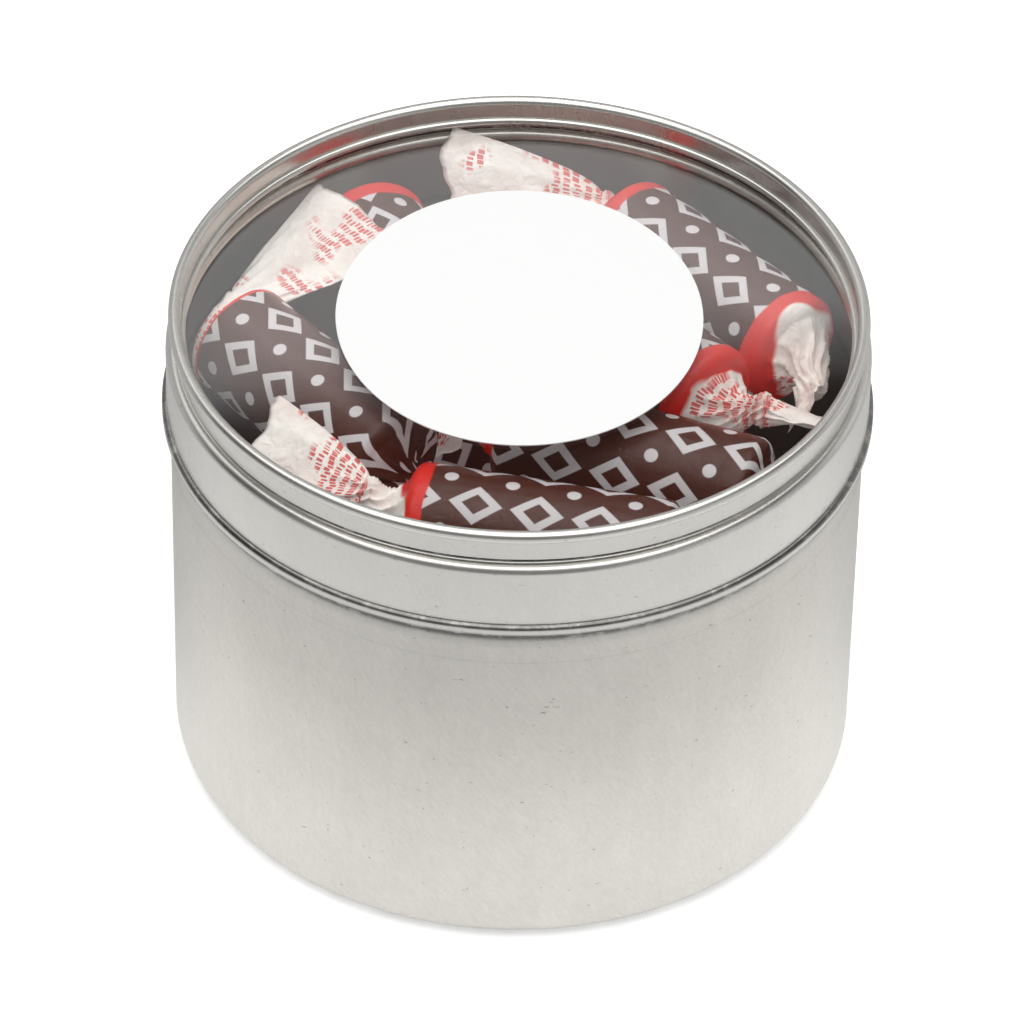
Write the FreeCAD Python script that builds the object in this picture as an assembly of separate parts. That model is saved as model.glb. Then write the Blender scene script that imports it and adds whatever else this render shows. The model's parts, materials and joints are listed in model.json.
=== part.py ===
"""A round tinplate can with a slip lid, a clear window in the lid and a filling of wrapped chews.

Millimetres, +Z up, origin at the bottom centre of the can.  The can is drawn from one sheet, with a
recessed base and a rim that curls inwards.  The lid is one ring of sheet: a hemmed skirt, a rolled
shoulder and groove, an upright band, a hollow top bead and an inner wall whose lip holds the window
pane down on the back of the groove.  Each chew lies in a paper wrapper that is twisted at both ends.
"""
import FreeCAD, Part
import math
import os

# Tinplate
sheet = 0.25

# Can
can_radius = 37.6
can_height = 53.2
corner_radius = 2.5
foot_width = 0.8
base_recess = 0.6
base_slope = 45.0
neck_height = 40.2
neck_inset = 0.12
neck_rise = 0.3
rim_curl_radius = 0.7
rim_tuck_angle = 60.0

# Lid ring
slip_gap = 0.15
seat_gap = 0.05
skirt_drop = 8.0
hem_thickness = 0.75
hem_height = 1.4
hem_straight = 1.0
hem_bulge_share = 0.25
shoulder_radius = 1.0
groove_radius = 0.3
band_rise = 3.3
bead_radius = 0.7
bead_inset = 0.05
lip_radius = 0.4
lip_inset = 0.1

# Window pane and its paper label
pane_thickness = 0.4
pane_edge_gap = 0.1
pane_seat_gap = 0.02
label_half_width = 19.8
label_half_depth = 21.7
label_offset = 2.3
label_thickness = 0.12

# Wrapped chews.  They fill the can, so their sizes are shares of the room inside it, and the rolls are as
# thick as both its width and its height allow.
hold_gap = 0.25
rest_gap = 0.1
side_gap = 0.3
paper = 0.3
paper_gap = 0.05
rolls_in_row = 4
roll_radius_share = 0.171
roll_half_share = 0.383
shoulder_length_share = 0.22
shoulder_radius_share = 0.75
chew_edge_share = 0.2
knot_radius_share = 0.3
gather_radius_share = 0.27
tail_rise_share = 0.3
tail_length_share = 0.32
tail_root_share = 0.2
fan_half_width_share = 0.9
fan_half_thickness_share = 0.035
fan_fold_share = 0.07
fan_pleats = 6

# Lower rows: the heading of each, from the floor up, and the knots and tails that all of them have.
row_headings = (0.0, 90.0, 40.0)
row_knot_shares = (0.41, 0.0, 0.0)
row_fan_roll = 90.0
row_tail_shares = (0.97, 0.88)

# Top row, as it lies under the window: the sweets at the left, back, right, middle, front right and front.
# Centres are in shares of the room's radius.  Knots lie beyond the roll, to its left and above its axis, in
# shares of the roll's radius.  Tails have a heading, pitch and roll in degrees, and a length and width in
# shares of the usual ones.
top_place_shares = ((-0.593, -0.054), (-0.344, 0.410), (0.559, 0.494),
                    (0.303, 0.236), (0.336, -0.314), (0.075, -0.655))
top_headings = (-50.0, -73.0, -48.5, -46.0, -21.0, -12.0)
first_knot_shares = ((0.36, -0.28, 0.15), (0.08, 0.0, -0.66), (0.33, -0.06, 0.21),
                     (0.33, -0.06, -0.17), (0.25, -0.16, -0.35), (0.60, -0.04, 0.35))
first_tail_headings = (35.0, 208.0, 188.0, 91.0, 72.0, 156.0)
first_tail_pitches = (17.5, 0.0, 7.0, 0.0, 0.0, 4.0)
first_tail_rolls = (-10.0, 90.0, -44.0, 90.0, 90.0, -25.0)
first_tail_shares = ((1.38, 1.36), (0.42, 0.33), (1.46, 1.14), (0.35, 0.50), (0.38, 0.48), (1.08, 0.95))
second_knot_shares = ((0.16, 0.44, -0.36), (0.47, 0.16, 0.26), (0.77, -0.38, 0.07),
                      (0.92, 0.10, 0.45), (0.20, -0.31, -0.35), (0.14, 0.25, -0.38))
second_tail_headings = (-15.0, -87.0, -99.0, -20.0, -108.0, 40.0)
second_tail_pitches = (5.0, 9.0, 0.0, 2.0, 0.0, 0.0)
second_tail_rolls = (20.0, 42.0, 60.0, -30.0, 90.0, 90.0)
second_tail_shares = ((0.54, 0.34), (1.02, 0.56), (0.48, 0.58), (0.58, 0.56), (0.42, 0.53), (0.25, 0.45))

# Radii and heights that follow
wall_radius = can_radius - sheet
neck_radius = can_radius - neck_inset
foot_radius = can_radius - corner_radius
foot_inner_radius = foot_radius - foot_width
panel_radius = foot_inner_radius - base_recess / math.tan(math.radians(base_slope))
skirt_inner_radius = can_radius + slip_gap
skirt_radius = skirt_inner_radius + sheet
band_radius = skirt_radius - shoulder_radius
band_inner_radius = band_radius - sheet
shoulder_top = can_height + seat_gap + sheet
shoulder_height = shoulder_top - shoulder_radius
groove_height = shoulder_top + groove_radius
groove_back_radius = groove_radius + sheet
bead_height = groove_height + band_rise
bead_centre_radius = band_radius - bead_inset
bead_bore_radius = bead_radius - sheet
inner_wall_radius = bead_centre_radius - bead_radius
lid_bottom = shoulder_height - skirt_drop
pane_radius = band_inner_radius - pane_edge_gap
pane_seat_rise = math.sqrt(groove_back_radius ** 2 - (band_radius - pane_radius) ** 2)
pane_bottom = groove_height + pane_seat_rise + pane_seat_gap
pane_top = pane_bottom + pane_thickness
lip_centre_radius = inner_wall_radius - lip_inset
lip_height = pane_top + pane_seat_gap + lip_radius

hold_radius = wall_radius - hold_gap
hold_floor = base_recess + sheet
hold_height = pane_bottom - hold_floor
row_count = len(row_headings) + 1
tallest_roll_radius = (hold_height - row_count * rest_gap) / (2 * row_count + tail_rise_share)
roll_radius = min(hold_radius * roll_radius_share, tallest_roll_radius)
roll_half_length = hold_radius * roll_half_share
roll_pitch = 2 * roll_radius + rest_gap
row_pitch = 2 * roll_radius + side_gap
tail_length = hold_radius * tail_length_share
shoulder_length = roll_radius * shoulder_length_share
roll_end_radius = roll_radius * shoulder_radius_share
knot_radius = roll_radius * knot_radius_share
gather_radius = roll_radius * gather_radius_share
fan_half_thickness = roll_radius * fan_half_thickness_share
fan_fold = roll_radius * fan_fold_share
chew_radius = roll_radius - paper - paper_gap
chew_edge = roll_radius * chew_edge_share
chew_half_length = roll_half_length - chew_edge

UP = FreeCAD.Vector(0, 0, 1)
AHEAD = FreeCAD.Vector(1, 0, 0)


def point(radius, height):
    """A point of a profile in the upright plane through the axis that it is turned about."""
    return FreeCAD.Vector(radius, 0, height)


def polar(centre, radius, angle):
    """The point of a profile at an angle in degrees round a centre."""
    turn = math.radians(angle)
    return centre + FreeCAD.Vector(radius * math.cos(turn), 0, radius * math.sin(turn))


def line(start, end):
    """A straight edge."""
    return Part.makeLine(start, end)


def arc(start, middle, end):
    """An arc through three points."""
    return Part.Arc(start, middle, end).toShape()


def round_arc(centre, radius, first, last):
    """An arc of a profile from one angle to another, in degrees."""
    middle = polar(centre, radius, (first + last) / 2)
    return arc(polar(centre, radius, first), middle, polar(centre, radius, last))


def chain(points):
    """Straight edges from each point to the next."""
    return [line(start, end) for start, end in zip(points, points[1:])]


def turned(edges, axis):
    """The solid that a closed profile sweeps round an axis through the origin."""
    face = Part.Face(Part.Wire(Part.__sortEdges__(edges)))
    return face.revolve(FreeCAD.Vector(0, 0, 0), axis, 360)


def can_body():
    """The drawn can: recessed base, foot, round corner, wall, slight neck and inward rim curl."""
    slope_shift = sheet * math.tan(math.radians(base_slope / 2))
    corner = point(foot_radius, corner_radius)
    curl = point(neck_radius - rim_curl_radius, can_height - rim_curl_radius)
    curl_end = 180.0 + rim_tuck_angle
    neck_inner_radius = neck_radius - sheet
    curl_bore_radius = rim_curl_radius - sheet
    edges = chain([point(0, base_recess), point(panel_radius, base_recess), point(foot_inner_radius, 0),
                   point(foot_radius, 0)])
    edges.append(round_arc(corner, corner_radius, -90, 0))
    edges += chain([polar(corner, corner_radius, 0), point(can_radius, neck_height),
                    point(neck_radius, neck_height + neck_rise), polar(curl, rim_curl_radius, 0)])
    edges.append(round_arc(curl, rim_curl_radius, 0, curl_end))
    edges.append(line(polar(curl, rim_curl_radius, curl_end), polar(curl, curl_bore_radius, curl_end)))
    edges.append(round_arc(curl, curl_bore_radius, curl_end, 0))
    edges += chain([polar(curl, curl_bore_radius, 0), point(neck_inner_radius, neck_height + neck_rise),
                    point(wall_radius, neck_height), point(wall_radius, corner_radius)])
    edges.append(round_arc(corner, corner_radius - sheet, 0, -90))
    edges += chain([point(foot_radius, sheet), point(foot_inner_radius + slope_shift, sheet),
                    point(panel_radius + slope_shift, base_recess + sheet), point(0, base_recess + sheet),
                    point(0, base_recess)])
    return turned(edges, UP)


def lid_ring():
    """The lid's ring of sheet, from the skirt's hem over the top bead to the lip on the pane."""
    hem_half = hem_thickness / 2
    hem = point(skirt_inner_radius + hem_half, lid_bottom + hem_half)
    hem_side = point(skirt_inner_radius + hem_thickness, lid_bottom + hem_straight)
    hem_top = point(skirt_radius, lid_bottom + hem_height)
    hem_step = hem_side - point(skirt_radius, lid_bottom + hem_straight)
    hem_bulge = (hem_side + hem_top) / 2 + hem_step * hem_bulge_share
    shoulder = point(band_radius, shoulder_height)
    groove = point(band_radius, groove_height)
    bead = point(bead_centre_radius, bead_height)
    lip = point(lip_centre_radius, lip_height)
    hidden_wall_radius = inner_wall_radius + sheet
    bead_start = -math.degrees(math.acos((band_radius - bead_centre_radius) / bead_radius))
    bore_end = -math.degrees(math.acos((band_inner_radius - bead_centre_radius) / bead_bore_radius))
    lip_start = math.degrees(math.acos((inner_wall_radius - lip_centre_radius) / lip_radius))
    lip_end = 360.0 + math.degrees(math.acos((hidden_wall_radius - lip_centre_radius) / lip_radius))
    back_start = math.degrees(math.acos((band_inner_radius - band_radius) / groove_back_radius))
    edges = [
        round_arc(hem, hem_half, 180, 360),
        line(polar(hem, hem_half, 0), hem_side),
        arc(hem_side, hem_bulge, hem_top),
        line(hem_top, point(skirt_radius, shoulder_height)),
        round_arc(shoulder, shoulder_radius, 0, 90),
        round_arc(groove, groove_radius, 270, 90),
        line(polar(groove, groove_radius, 90), polar(bead, bead_radius, bead_start)),
        round_arc(bead, bead_radius, bead_start, 180),
        line(polar(bead, bead_radius, 180), polar(lip, lip_radius, lip_start)),
        round_arc(lip, lip_radius, lip_start, lip_end),
        line(polar(lip, lip_radius, lip_end), polar(bead, bead_bore_radius, 180)),
        round_arc(bead, bead_bore_radius, 180, bore_end),
        line(polar(bead, bead_bore_radius, bore_end), polar(groove, groove_back_radius, back_start)),
        round_arc(groove, groove_back_radius, back_start, 270),
        round_arc(shoulder, shoulder_radius - sheet, 90, 0),
        line(polar(shoulder, shoulder_radius - sheet, 0), polar(hem, hem_half, 180)),
    ]
    return turned(edges, UP)


def window_pane():
    """The clear disc between the lip and the back of the groove."""
    return Part.makeCylinder(pane_radius, pane_thickness, point(0, pane_bottom))


def window_label():
    """The oval paper label on top of the pane."""
    centre = FreeCAD.Vector(0, label_offset, pane_top)
    reaches = [FreeCAD.Vector(label_half_width, 0, 0), FreeCAD.Vector(0, label_half_depth, 0)]
    short, long = sorted(reaches, key=lambda reach: reach.Length)
    oval = Part.Ellipse(centre + long, centre + short, centre)
    return Part.Face(Part.Wire(oval.toShape())).extrude(UP * label_thickness)


def direction(heading, pitch):
    """A unit vector from a heading about Z and a pitch above the level, in degrees."""
    turn = math.radians(heading)
    rise = math.radians(pitch)
    return FreeCAD.Vector(math.cos(turn) * math.cos(rise), math.sin(turn) * math.cos(rise), math.sin(rise))


def pleated_outline(centre, wide, thick, half_width, share):
    """Corners of a pleated strip of paper across a tail, at a share of its full size."""
    upper = []
    lower = []
    for index in range(fan_pleats + 1):
        across = wide * half_width * (2 * index / fan_pleats - 1)
        fold = thick * fan_fold * (-1) ** index
        upper.append(centre + (across + fold + thick * fan_half_thickness) * share)
        lower.append(centre + (across + fold - thick * fan_half_thickness) * share)
    return upper + lower[::-1]


def polygon_face(corners):
    """A flat face with straight sides."""
    return Part.Face(Part.makePolygon(corners + corners[:1]))


def tapered_solid(first, last):
    """A solid with flat sides from one outline to a scaled copy of it."""
    corners = list(zip(first, last))
    faces = [polygon_face(first), polygon_face(last)]
    for start, end in zip(corners, corners[1:] + corners[:1]):
        faces.append(polygon_face([start[0], start[1], end[1], end[0]]))
    return Part.makeSolid(Part.makeShell(faces))


def roll_profile(radius, half_length, edge_length, edge_radius):
    """A roll along X whose round shoulders lead from its side to smaller flat ends."""
    bulge = (radius - edge_radius) / math.sqrt(2)
    shoulder = point(half_length + edge_length / math.sqrt(2), edge_radius + bulge)
    side = point(half_length, radius)
    end = point(half_length + edge_length, edge_radius)
    foot = point(half_length + edge_length, 0)

    def mirrored(spot):
        return point(-spot.x, spot.z)

    edges = [
        line(mirrored(foot), mirrored(end)),
        arc(mirrored(end), mirrored(shoulder), mirrored(side)),
        line(mirrored(side), side),
        arc(side, shoulder, end),
        line(end, foot),
        line(foot, mirrored(foot)),
    ]
    return turned(edges, AHEAD)


def round_wire(centre, along, radius):
    """A round section across a direction."""
    return Part.Wire(Part.Circle(centre, along, radius).toShape())


def gathered_knot(root, knot, outward):
    """The paper drawn in from the end of a roll, and the tight round knot that it ends in."""
    half_depth = math.sqrt(knot_radius ** 2 - gather_radius ** 2)
    sections = [
        round_wire(root, outward, roll_end_radius),
        round_wire(root + outward * shoulder_length, outward, roll_end_radius),
        round_wire(knot, outward, gather_radius),
    ]
    back = point(-half_depth, gather_radius)
    front = point(half_depth, gather_radius)
    edges = chain([front, point(half_depth, 0), point(-half_depth, 0), back])
    edges.append(arc(back, point(0, knot_radius), front))
    barrel = turned(edges, AHEAD)
    barrel.Placement = FreeCAD.Placement(knot, FreeCAD.Rotation(AHEAD, outward))
    return [Part.makeLoft(sections, True, True), barrel]


def twisted_end(centre, outward, knot_shares, tail_angles, tail_shares):
    """The gathered paper, the knot and the flared tail at one end of a roll."""
    beyond, aside, above = [share * roll_radius for share in knot_shares]
    heading, pitch, fan_roll = tail_angles
    length_share, width_share = tail_shares
    root = centre + outward * roll_half_length
    knot = root + outward * (shoulder_length + beyond) + UP.cross(outward) * aside + UP * above
    along = direction(heading, pitch)
    level = UP.cross(along).normalize()
    turn = math.radians(fan_roll)
    wide = level * math.cos(turn) + along.cross(level) * math.sin(turn)
    thick = along.cross(wide)
    tip = knot + along * tail_length * length_share
    half_width = roll_radius * fan_half_width_share * width_share
    tail = tapered_solid(pleated_outline(knot, wide, thick, half_width, tail_root_share),
                         pleated_outline(tip, wide, thick, half_width, 1))
    return gathered_knot(root, knot, outward) + [tail]


def wrapped_chew(centre, heading, first_end, second_end):
    """One chew and its wrapper; each end is a knot's place, a tail's angles and its length and width."""
    along = direction(heading, 0)
    placement = FreeCAD.Placement(centre, FreeCAD.Rotation(UP, heading))
    chew_end_radius = chew_radius - chew_edge
    chew = roll_profile(chew_radius, chew_half_length, chew_edge, chew_end_radius)
    hollow = roll_profile(chew_radius + paper_gap, chew_half_length, chew_edge + paper_gap, chew_end_radius)
    roll = roll_profile(roll_radius, roll_half_length, shoulder_length, roll_end_radius)
    for shape in (chew, hollow, roll):
        shape.Placement = placement
    ends = twisted_end(centre, along * -1, *first_end) + twisted_end(centre, along, *second_end)
    wrapper = roll.multiFuse(ends).cut(hollow)
    return chew, wrapper.Solids[0]


def lower_row(height, heading):
    """Places of the rolls that lie side by side in one lower row."""
    across = direction(heading + 90, 0)
    for index in range(rolls_in_row):
        offset = (index - (rolls_in_row - 1) / 2) * row_pitch
        first = (row_knot_shares, (heading + 180, 0, row_fan_roll), row_tail_shares)
        second = (row_knot_shares, (heading, 0, row_fan_roll), row_tail_shares)
        yield across * offset + UP * height, heading, first, second


def filling():
    """Places of every wrapped chew: the lower rows, then the loose top row under the window."""
    height = hold_floor + rest_gap + roll_radius
    for heading in row_headings:
        yield from lower_row(height, heading)
        height += roll_pitch
    first_angles = zip(first_tail_headings, first_tail_pitches, first_tail_rolls)
    second_angles = zip(second_tail_headings, second_tail_pitches, second_tail_rolls)
    first_ends = zip(first_knot_shares, first_angles, first_tail_shares)
    second_ends = zip(second_knot_shares, second_angles, second_tail_shares)
    for place, heading, first, second in zip(top_place_shares, top_headings, first_ends, second_ends):
        centre = FreeCAD.Vector(*place, 0) * hold_radius + UP * height
        yield centre, heading, first, second


def main():
    """Build every piece and write it to its own file."""
    pieces = {
        "can_body": can_body(),
        "lid_ring": lid_ring(),
        "window_pane": window_pane(),
        "window_label": window_label(),
    }
    for number, place in enumerate(filling(), 1):
        chew, wrapper = wrapped_chew(*place)
        pieces["chew_%02d" % number] = chew
        pieces["wrapper_%02d" % number] = wrapper
    os.makedirs("parts", exist_ok=True)
    for name, shape in pieces.items():
        print(name, shape.isValid(), len(shape.Solids), round(shape.Volume, 2))
        shape.exportStep("parts/%s.step" % name)


main()
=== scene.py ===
"""Looks of the window lid tin: a tinplate can and slip lid, a clear window with its label, and wrapped chews.

Places and sizes come from the CAD frame or from the driving values of the classes below. Those values are in
millimetres, degrees and shares of a roll's radius, and the meshes are in metres.
"""

import json
import logging
import math
from dataclasses import dataclass, replace
from enum import Enum

import bpy
import numpy as np
from bpy.types import ID, Material, Mesh, Node, NodeSocket, NodeTree, Object
from mathutils import Matrix, Vector

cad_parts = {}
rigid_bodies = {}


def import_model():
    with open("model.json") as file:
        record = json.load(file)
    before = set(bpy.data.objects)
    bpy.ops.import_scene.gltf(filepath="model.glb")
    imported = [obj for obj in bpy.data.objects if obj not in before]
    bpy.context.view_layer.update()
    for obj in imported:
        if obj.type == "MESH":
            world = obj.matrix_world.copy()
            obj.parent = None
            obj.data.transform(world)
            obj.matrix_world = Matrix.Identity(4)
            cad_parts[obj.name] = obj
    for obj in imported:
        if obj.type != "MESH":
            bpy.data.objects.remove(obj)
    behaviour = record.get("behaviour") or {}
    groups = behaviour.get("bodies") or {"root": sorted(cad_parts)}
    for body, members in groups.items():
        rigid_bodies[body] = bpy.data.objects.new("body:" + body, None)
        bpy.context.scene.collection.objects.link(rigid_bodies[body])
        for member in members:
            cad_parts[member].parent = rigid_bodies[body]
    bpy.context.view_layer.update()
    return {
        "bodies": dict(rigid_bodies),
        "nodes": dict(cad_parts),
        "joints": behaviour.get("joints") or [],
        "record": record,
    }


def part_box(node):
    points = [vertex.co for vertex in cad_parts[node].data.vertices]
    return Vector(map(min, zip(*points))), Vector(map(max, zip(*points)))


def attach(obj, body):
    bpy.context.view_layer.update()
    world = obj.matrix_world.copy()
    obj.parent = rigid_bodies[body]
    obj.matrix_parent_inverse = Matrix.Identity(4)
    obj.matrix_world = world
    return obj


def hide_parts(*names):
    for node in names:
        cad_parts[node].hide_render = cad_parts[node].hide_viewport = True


MM = 0.001
PER_MM = (1 / MM, 1 / MM, 1 / MM)
UP = Vector((0.0, 0.0, 1.0))
Span = tuple[float, float]
Colour = tuple[float, float, float, float]
BLACK: Colour = (0.0, 0.0, 0.0, 1.0)
WHITE: Colour = (1.0, 1.0, 1.0, 1.0)
log = logging.getLogger("window_lid_tin")


class Sort(Enum):
    """Sorts of socket on a node group, by Blender's own names."""

    VALUE = "NodeSocketFloat"
    COUNT = "NodeSocketInt"
    VECTOR = "NodeSocketVector"
    SHAPE = "NodeSocketGeometry"
    OBJECT = "NodeSocketObject"
    MATERIAL = "NodeSocketMaterial"


class Ray(Enum):
    """Sorts of ray that a material or the world tells apart, by Blender's own names."""

    CAMERA = "Is Camera Ray"
    SHADOW = "Is Shadow Ray"
    DIFFUSE = "Is Diffuse Ray"
    GLOSSY = "Is Glossy Ray"
    TRANSMISSION = "Is Transmission Ray"


class Field:
    """An output of a node, which is added, scaled and compared like a number or a vector."""

    def __init__(self, sheet: "Sheet", socket: NodeSocket) -> None:
        """Hold a socket and the sheet that it lies on."""
        self.sheet = sheet
        self.socket = socket

    @property
    def is_vector(self) -> bool:
        """Whether the socket carries a vector."""
        return self.socket.type == "VECTOR"

    def __add__(self, other: "Term") -> "Field":
        """Sum with another term."""
        return self.sheet.reckon("ADD", self, other)

    def __radd__(self, other: "Term") -> "Field":
        """Sum with a number on the left."""
        return self.sheet.reckon("ADD", other, self)

    def __sub__(self, other: "Term") -> "Field":
        """Difference from another term."""
        return self.sheet.reckon("SUBTRACT", self, other)

    def __rsub__(self, other: "Term") -> "Field":
        """Difference of a number on the left from this."""
        return self.sheet.reckon("SUBTRACT", other, self)

    def __mul__(self, other: "Term") -> "Field":
        """Product, or a vector scaled by a number."""
        if self.is_vector and not is_vector(other):
            return self.sheet.scaled(self, other)
        return self.sheet.reckon("MULTIPLY", self, other)

    def __rmul__(self, other: "Term") -> "Field":
        """Product with a number on the left."""
        return self * other

    def __truediv__(self, other: "Term") -> "Field":
        """Quotient by another term."""
        return self.sheet.reckon("DIVIDE", self, other)

    def __pow__(self, other: "Term") -> "Field":
        """Power of a value."""
        return self.sheet.reckon("POWER", self, other)

    def __abs__(self) -> "Field":
        """Size without sign."""
        return self.sheet.reckon("ABSOLUTE", self)


Term = Field | float | tuple | Vector


def is_vector(term: Term) -> bool:
    """Whether a term is a vector."""
    if isinstance(term, Field):
        return term.is_vector
    return isinstance(term, (tuple, Vector))


class Sheet:
    """A node tree, with short calls for the nodes that this object's finishes and papers use."""

    def __init__(self, tree: NodeTree) -> None:
        """Hold the tree that the calls add to."""
        self.tree = tree

    def node(self, kind: str, feeds: dict | None = None, **settings: object) -> Node:
        """Add a node of a kind with its properties set, and feed its inputs by name or number."""
        made = self.tree.nodes.new(kind)
        for name, value in settings.items():
            setattr(made, name, value)
        for key, value in (feeds or {}).items():
            self.feed(made.inputs[key], value)
        return made

    def feed(self, socket: NodeSocket, term: Term) -> None:
        """Link a field to an input, or set the input's own value."""
        if isinstance(term, Field):
            self.tree.links.new(term.socket, socket)
        else:
            socket.default_value = term

    def field(self, kind: str, feeds: dict | None = None, out: str | int = 0, **settings: object) -> Field:
        """Add a node, and take the output of a name or number."""
        return Field(self, self.node(kind, feeds, **settings).outputs[out])

    def reckon(self, operation: str, *terms: Term) -> Field:
        """Add one of Blender's sums by its name, on vectors where a term is one."""
        kind = "ShaderNodeVectorMath" if any(map(is_vector, terms)) else "ShaderNodeMath"
        return self.field(kind, dict(enumerate(terms)), operation=operation)

    def scaled(self, vector: Term, factor: Term) -> Field:
        """A vector times a number."""
        return self.field("ShaderNodeVectorMath", {0: vector, "Scale": factor}, operation="SCALE")

    def dot(self, first: Term, second: Term) -> Field:
        """The dot product of two vectors."""
        return self.field("ShaderNodeVectorMath", {0: first, 1: second}, "Value", operation="DOT_PRODUCT")

    def length(self, vector: Field) -> Field:
        """The length of a vector."""
        return self.field("ShaderNodeVectorMath", {0: vector}, "Value", operation="LENGTH")

    def unit(self, vector: Field) -> Field:
        """A vector brought to length one."""
        return self.reckon("NORMALIZE", vector)

    def sine(self, angle: Term) -> Field:
        """Sine of an angle in radians."""
        return self.reckon("SINE", angle)

    def cosine(self, angle: Term) -> Field:
        """Cosine of an angle in radians."""
        return self.reckon("COSINE", angle)

    def ramp(self, value: Term, low: Term, high: Term, smooth: bool = True) -> Field:
        """Rise from nought at the low value to one at the high one, which may lie below it."""
        feeds = {"Value": value, "From Min": low, "From Max": high}
        ease = "SMOOTHSTEP" if smooth else "LINEAR"
        return self.field("ShaderNodeMapRange", feeds, interpolation_type=ease)

    def edge(self, value: Term, middle: float, half: float) -> Field:
        """Rise from nought to one about a value, or fall where half the rise's width is negative."""
        return self.ramp(value, middle - half, middle + half)

    def noise(self, place: Term, scale: float, detail: float = 2.0, rough: float = 0.5) -> Field:
        """Noise about a half, by its scale, its octaves and how strong the finer ones are."""
        feeds = {"Vector": place, "Scale": scale, "Detail": detail, "Roughness": rough}
        return self.field("ShaderNodeTexNoise", feeds)

    def stir(self, x: Term, y: Term, z: Term, detail: float = 1.0, scale: float = 1.0) -> Field:
        """Noise about nought at a place that is given by its three parts."""
        return self.noise(self.vector(x, y, z), scale, detail) - 0.5

    def vector(self, x: Term, y: Term, z: Term = 0.0) -> Field:
        """A vector from its three parts."""
        return self.field("ShaderNodeCombineXYZ", {0: x, 1: y, 2: z})

    def parts(self, vector: Field) -> tuple[Field, Field, Field]:
        """The three parts of a vector."""
        split = self.node("ShaderNodeSeparateXYZ", {0: vector})
        return tuple(Field(self, socket) for socket in split.outputs)

    def mix(self, share: Term, first: Term, second: Term) -> Field:
        """A colour between two others, by the share of the second."""
        return self.field("ShaderNodeMix", {0: share, 6: first, 7: second}, 2, data_type="RGBA")

    def toned(self, tone: Field, shade: Term) -> Field:
        """A colour made lighter or darker by a tone about one."""
        return self.field("ShaderNodeHueSaturation", {"Value": tone, "Color": shade})

    def ray(self, sort: Ray) -> Field:
        """One for a ray of a sort, and nought for any other."""
        return self.field("ShaderNodeLightPath", out=sort.value)

    def group(self, tree: NodeTree, feeds: dict) -> dict[str, Field]:
        """Place a node group, fed by name, and give back its outputs by name."""
        kind = "GeometryNodeGroup" if tree.bl_idname == "GeometryNodeTree" else "ShaderNodeGroup"
        placed = self.node(kind, feeds, node_tree=tree)
        return {socket.name: Field(self, socket) for socket in placed.outputs}

    def put_out(self, terms: dict[str, Term]) -> NodeTree:
        """Feed a group's outputs by name and give back its tree."""
        self.node("NodeGroupOutput", terms)
        return self.tree

    def put_out_dressed(self, shape: Field, finish: Field) -> NodeTree:
        """Put out a shape as one mesh with a finish on it, and give back the tree."""
        whole = self.field("GeometryNodeRealizeInstances", {"Geometry": shape})
        dressed = self.field("GeometryNodeSetMaterial", {"Geometry": whole, "Material": finish})
        return self.put_out({"Geometry": dressed})


def open_group(kind: str, name: str, inputs: dict[str, Sort], outputs: dict[str, Sort]
               ) -> tuple[Sheet, dict[str, Field]]:
    """Start a node group with named inputs and outputs.

    Args:
        kind: Blender's name for the sort of tree.
        name: The group's name.
        inputs: The sort of each input.
        outputs: The sort of each output.

    Returns:
        The group's sheet, and its inputs as fields.
    """
    tree = bpy.data.node_groups.new(name, kind)
    for label, sort in inputs.items():
        tree.interface.new_socket(name=label, in_out="INPUT", socket_type=sort.value)
    for label, sort in outputs.items():
        tree.interface.new_socket(name=label, in_out="OUTPUT", socket_type=sort.value)
    sheet = Sheet(tree)
    source = sheet.node("NodeGroupInput")
    return sheet, {label: Field(sheet, source.outputs[label]) for label in inputs}


def colour(red: int, green: int, blue: int) -> Colour:
    """A colour as it shows on a screen, from 0 to 255, as the linear one that nodes take."""
    def linear(level: int) -> float:
        share = level / 255
        return share / 12.92 if share <= 0.04045 else ((share + 0.055) / 1.055) ** 2.4

    return linear(red), linear(green), linear(blue), 1.0


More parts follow.
